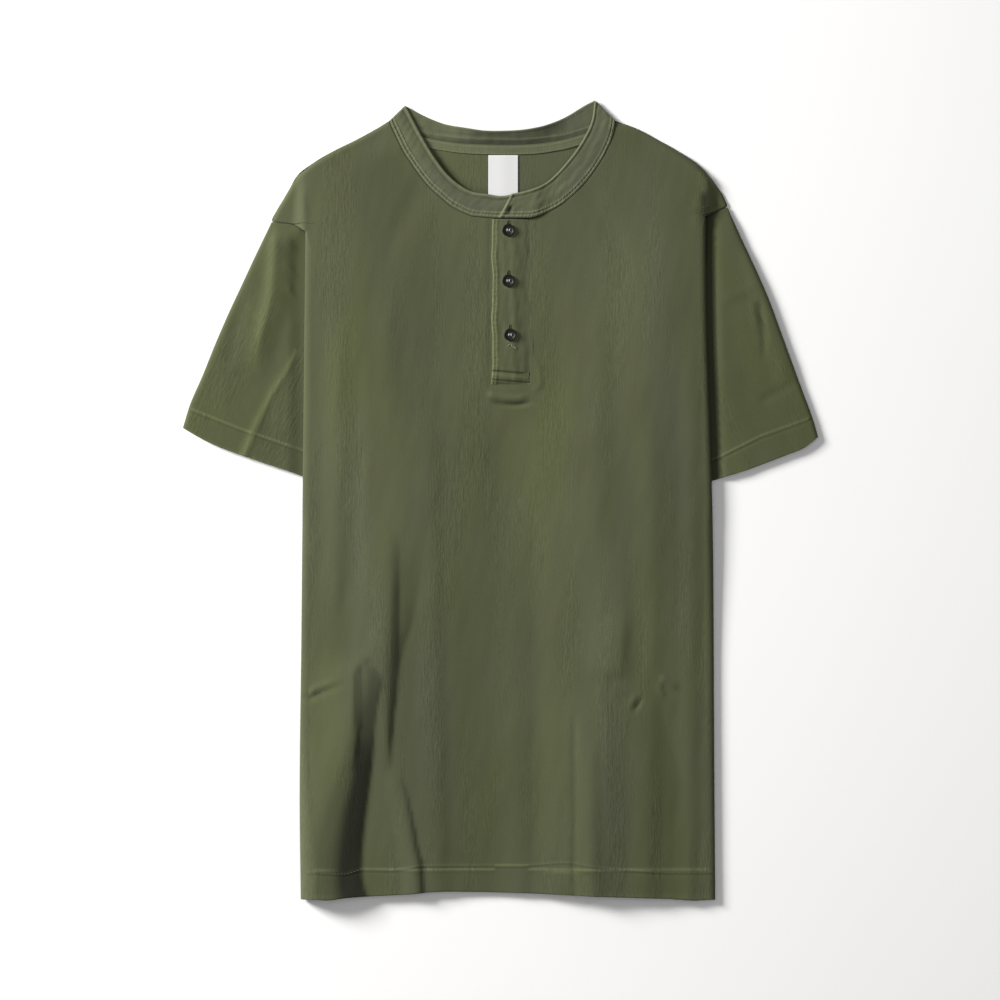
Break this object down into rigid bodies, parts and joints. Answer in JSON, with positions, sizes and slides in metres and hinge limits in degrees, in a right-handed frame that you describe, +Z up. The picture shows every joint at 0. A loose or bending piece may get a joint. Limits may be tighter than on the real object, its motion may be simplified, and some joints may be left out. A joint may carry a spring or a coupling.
{
  "type": "henley shirt",
  "caption": "Short sleeved henley shirt laid flat, sides turned under and sleeves out from below them, round neckband and short buttoned placket.",
  "frame": {"origin": "middle of the shirt's bounding box, on the surface that it lies on", "axes": "+X to the viewer's right across the front, +Y from hem to neck, +Z up from the surface"},
  "size_m": [0.5588, 0.7034, 0.0127],
  "materials": {
    "cloth": "matt garment-dyed olive knit with fine uneven vertical ribs",
    "band": "matt olive knit, doubled, with paler worn edges",
    "tape": "matt herringbone cotton tape in olive",
    "label": "smooth white woven satin",
    "button": "semi-gloss near-black horn look"
  },
  "bodies": {
    "root": {"back_body": "cloth", "front_body": "cloth", "left_sleeve": "cloth", "right_sleeve": "cloth", "neckband_back": "band", "neckband_front_left": "band", "neckband_front_right": "band", "neck_tape": "tape", "neck_label": "label", "placket_under": "cloth", "placket_top": "cloth", "button_1": "button", "button_2": "button", "button_3": "button"}
  },
  "joints": []
}
